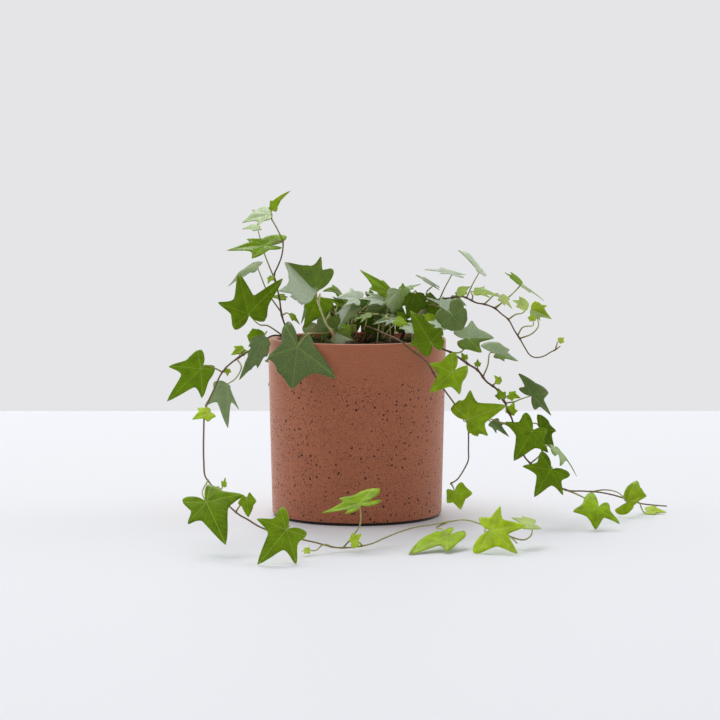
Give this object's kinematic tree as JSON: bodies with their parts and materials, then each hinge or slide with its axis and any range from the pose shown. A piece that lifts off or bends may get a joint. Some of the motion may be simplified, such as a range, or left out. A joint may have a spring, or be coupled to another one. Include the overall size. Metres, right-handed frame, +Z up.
{
  "type": "potted ivy",
  "caption": "Trailing ivy with lobed leaves on slender stems, growing in soil in a straight-sided cylindrical pot.",
  "frame": {"origin": "centre of the pot's flat underside, where it stands", "axes": "+Z up the pot's axis, +X to the right as seen from the front, the front looks along -Y"},
  "size_m": [0.3917, 0.3666, 0.2552],
  "materials": {
    "pot": "matte terracotta-coloured cast body with small dark air pits",
    "soil": "dark moist potting soil with moss and fine roots",
    "foliage": "waxy green leaves with pale veins on brown to green stems"
  },
  "bodies": {
    "root": {"pot": "pot", "soil": "soil", "vine_climbing_left": "foliage", "vine_trailing_left": "foliage", "vine_hanging_front": "foliage", "vine_trailing_right": "foliage", "vine_arching_right": "foliage", "vine_back_left": "foliage", "vine_back_right": "foliage", "shoot_front_left": "foliage", "shoot_middle": "foliage", "shoot_right": "foliage", "shoot_far_right": "foliage", "shoot_centre": "foliage", "shoot_back_left": "foliage", "shoot_back_middle": "foliage", "shoot_back_right": "foliage"}
  },
  "joints": []
}
